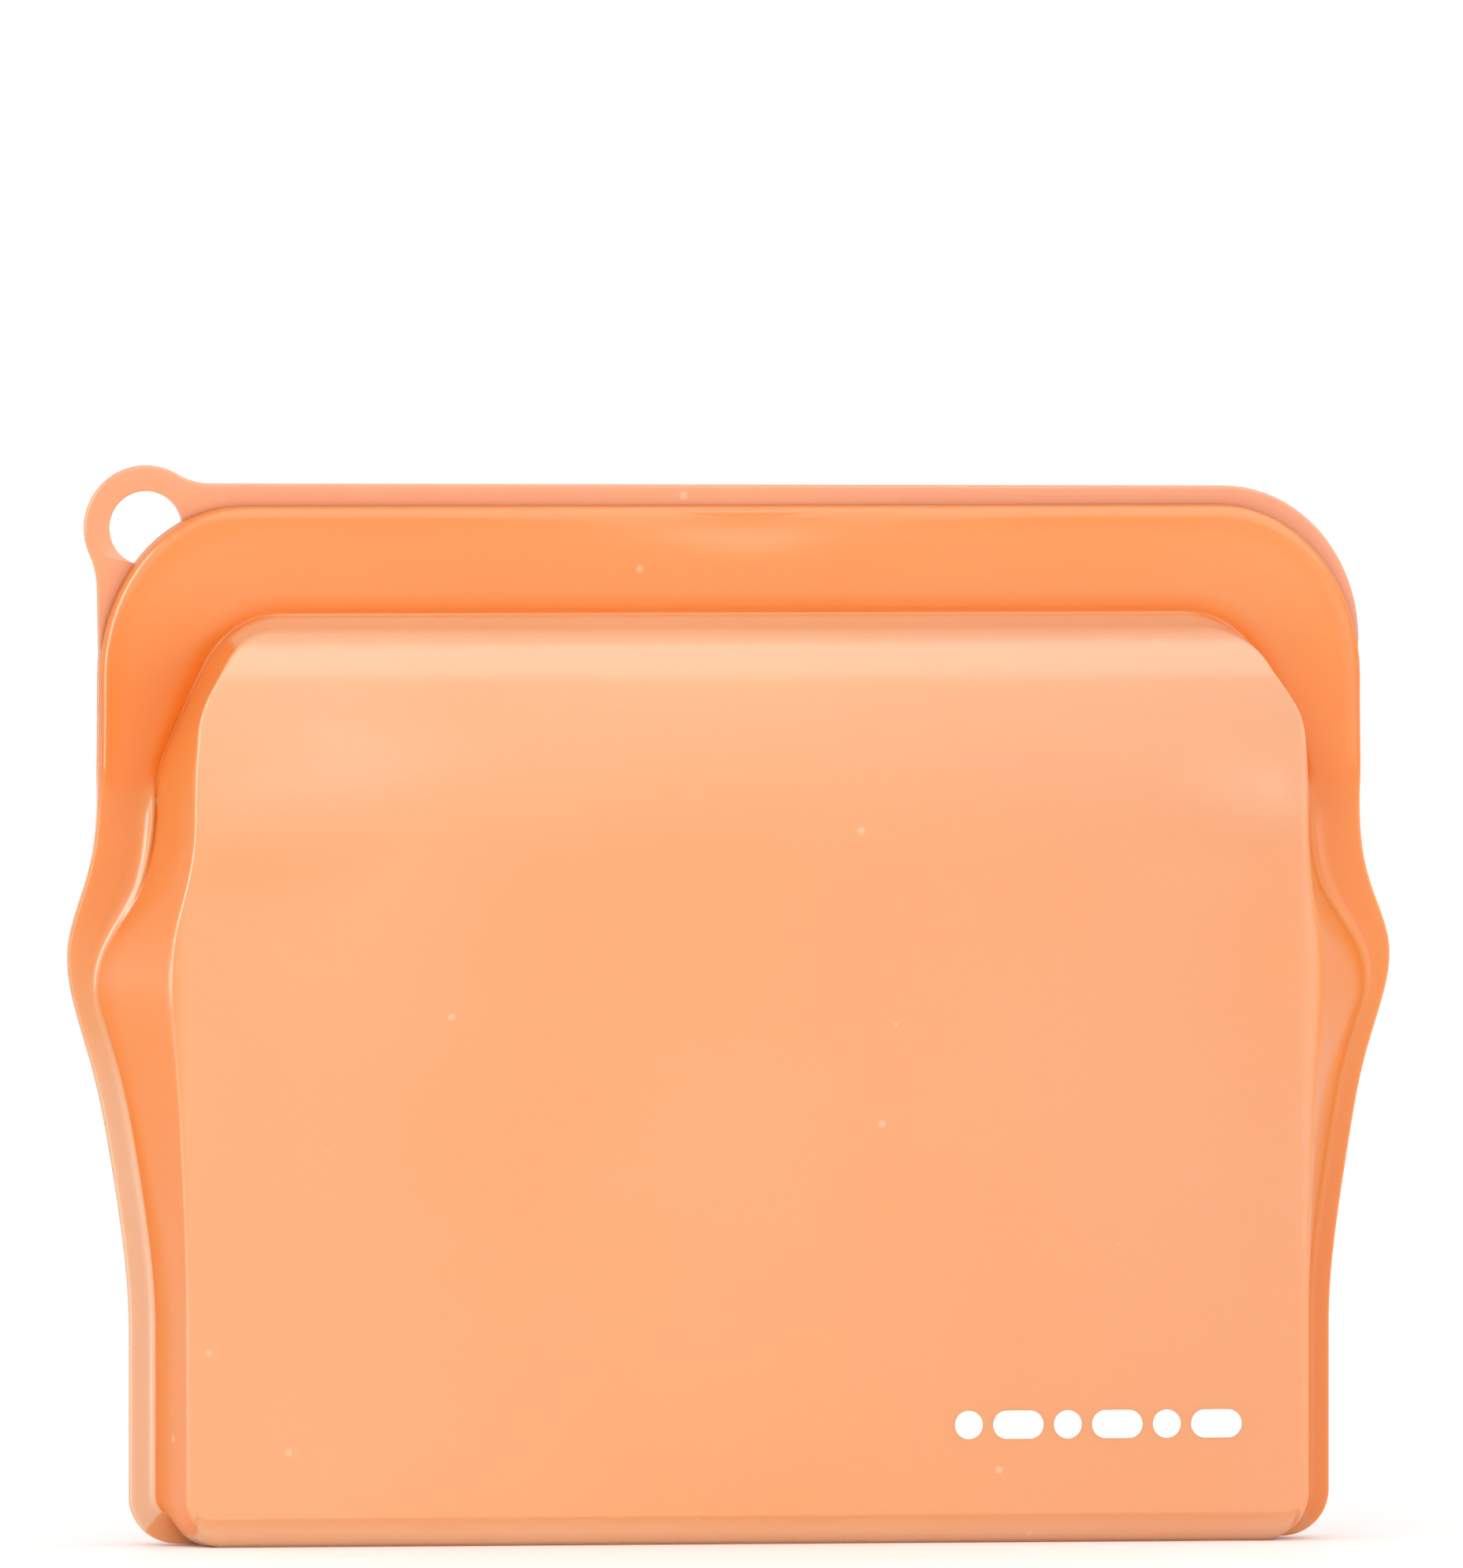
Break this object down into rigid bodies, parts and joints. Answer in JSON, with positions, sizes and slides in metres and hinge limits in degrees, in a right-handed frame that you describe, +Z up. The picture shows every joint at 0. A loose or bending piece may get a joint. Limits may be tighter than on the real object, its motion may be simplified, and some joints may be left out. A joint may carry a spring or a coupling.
{
  "type": "reusable silicone bag",
  "caption": "Upright food storage bag of translucent orange silicone, with two lips that press shut along an upside-down U seal, bulged panels, bonded side seams and a hanging loop.",
  "frame": {"origin": "on the surface the bag stands on, under the middle of the bag", "axes": "+X across the bag to the right as its front is seen, +Y from the front to the back, +Z up from the base to the mouth"},
  "size_m": [0.1998, 0.0321, 0.1601],
  "materials": {
    "body_silicone": "satin translucent",
    "seal_silicone": "satin translucent",
    "rim_silicone": "satin translucent",
    "white_ink": "matt print"
  },
  "bodies": {
    "bag_body": {"front_shell": "body_silicone", "back_shell": "body_silicone", "left_seam": "body_silicone", "right_seam": "body_silicone", "bottom_seam": "body_silicone", "front_crease": "body_silicone", "back_crease": "body_silicone", "printed_mark": "white_ink"},
    "front_lip": {"front_lip_panel": "body_silicone", "front_seal_band": "seal_silicone"},
    "back_lip": {"back_lip_panel": "body_silicone", "back_seal_band": "seal_silicone", "press_rib": "seal_silicone", "pull_rim": "rim_silicone"},
    "loop": {"hang_loop": "rim_silicone"}
  },
  "joints": [
    {"name": "front_lip_open", "type": "hinge", "parent": "bag_body", "child": "front_lip", "pos_m": [0, -0.007, 0.1115], "axis": [1, 0, 0], "range_deg": [0, 40], "stiffness_Nm_per_rad": 0.02, "deforming": ["front_crease"]},
    {"name": "back_lip_open", "type": "hinge", "parent": "bag_body", "child": "back_lip", "pos_m": [0, 0.007, 0.1115], "axis": [-1, 0, 0], "range_deg": [0, 40], "stiffness_Nm_per_rad": 0.02, "deforming": ["back_crease"]},
    {"name": "loop_flex", "type": "hinge", "parent": "back_lip", "child": "loop", "pos_m": [-0.0862, 0.0009, 0.1489], "axis": [0.7071, 0, 0.7071], "range_deg": [-45, 45], "stiffness_Nm_per_rad": 0.003}
  ]
}
